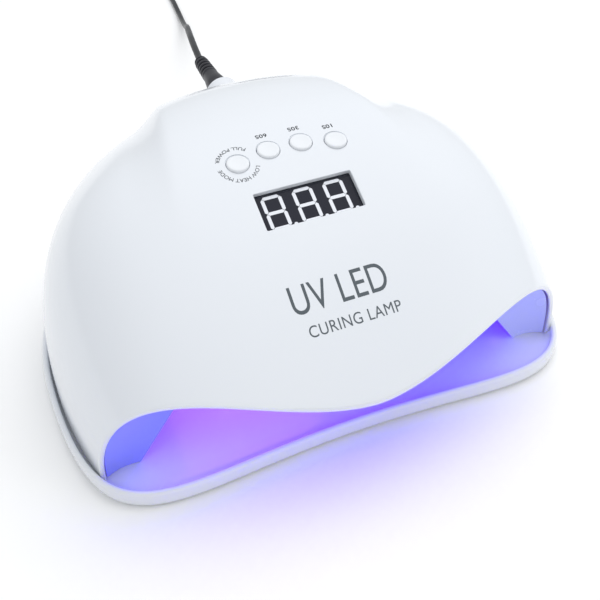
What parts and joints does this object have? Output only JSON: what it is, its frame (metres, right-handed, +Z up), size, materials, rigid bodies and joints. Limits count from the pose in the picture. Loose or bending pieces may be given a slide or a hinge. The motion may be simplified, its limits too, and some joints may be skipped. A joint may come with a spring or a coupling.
{
  "type": "uv curing lamp",
  "caption": "White domed nail curing lamp with an open front for a hand, violet LED lining, display, push buttons and a lift-off tray; DC lead with a coiled end and wall adapter.",
  "frame": {"origin": "on the supporting surface, under the middle of the lamp's outline (lead left out)", "axes": "hand opening towards -Y, +X to the right seen from the opening, +Z up"},
  "size_m": [0.304, 0.6251, 0.1008],
  "materials": {
    "shell_white": "polished",
    "liner_white": "satin",
    "tray_white": "polished",
    "button_white": "satin",
    "bezel_white": "satin",
    "post_white": "moulded",
    "magnet_nickel": "nickel plated",
    "rubber_grey": "matt",
    "cord_black": "satin",
    "tie_black": "matt",
    "adapter_black": "fine texture",
    "prong_brass": "nickel plated brass",
    "screw_steel": "zinc plated",
    "led_board_white": "satin solder mask",
    "board_green": "solder mask",
    "uv_lens": "clear dome, lit violet",
    "display_black": "polished",
    "segment_white": "moulded",
    "component_black": "moulded"
  },
  "bodies": {
    "base": {"base_tray": "tray_white", "tray_magnets": "magnet_nickel", "rubber_feet": "rubber_grey", "cord_coil": "cord_black", "coil_tie": "tie_black", "cord_tail": "cord_black", "adapter_shell": "adapter_black", "adapter_cap": "adapter_black", "adapter_prongs": "prong_brass", "adapter_relief": "cord_black"},
    "housing": {"top_shell": "shell_white", "inner_liner": "liner_white", "liner_flare": "liner_white", "bottom_ring": "liner_white", "housing_magnets": "magnet_nickel", "ring_screws": "screw_steel", "screw_posts": "post_white", "led_board_left": "led_board_white", "led_lenses_left": "uv_lens", "led_board_rear_left": "led_board_white", "led_lenses_rear_left": "uv_lens", "led_board_rear": "led_board_white", "led_lenses_rear": "uv_lens", "led_board_rear_right": "led_board_white", "led_lenses_rear_right": "uv_lens", "led_board_right": "led_board_white", "led_lenses_right": "uv_lens", "led_board_roof": "led_board_white", "led_lenses_roof": "uv_lens", "display_module": "display_black", "display_board": "board_green", "display_segments": "segment_white", "tact_switches": "component_black", "control_board": "board_green", "board_components": "component_black", "inlet_bezel": "bezel_white", "dc_jack": "component_black", "dc_plug_barrel": "prong_brass", "dc_plug_body": "cord_black", "cord_lead": "cord_black"},
    "key_mode": {"button_mode": "button_white"},
    "key_60s": {"button_60s": "button_white"},
    "key_30s": {"button_30s": "button_white"},
    "key_10s": {"button_10s": "button_white"}
  },
  "joints": [
    {"name": "housing_lift", "type": "slide", "parent": "base", "child": "housing", "axis": [0, 0, 1], "range_m": [0, 0.06]},
    {"name": "press_mode", "type": "slide", "parent": "housing", "child": "key_mode", "axis": [0, 0.1564, -0.9877], "range_m": [0, 0.0006], "stiffness_N_per_m": 1500, "springref_m": -0.0002},
    {"name": "press_60s", "type": "slide", "parent": "housing", "child": "key_60s", "axis": [0, 0.1564, -0.9877], "range_m": [0, 0.0006], "stiffness_N_per_m": 1500, "springref_m": -0.0002},
    {"name": "press_30s", "type": "slide", "parent": "housing", "child": "key_30s", "axis": [0, 0.1564, -0.9877], "range_m": [0, 0.0006], "stiffness_N_per_m": 1500, "springref_m": -0.0002},
    {"name": "press_10s", "type": "slide", "parent": "housing", "child": "key_10s", "axis": [0, 0.1564, -0.9877], "range_m": [0, 0.0006], "stiffness_N_per_m": 1500, "springref_m": -0.0002}
  ]
}
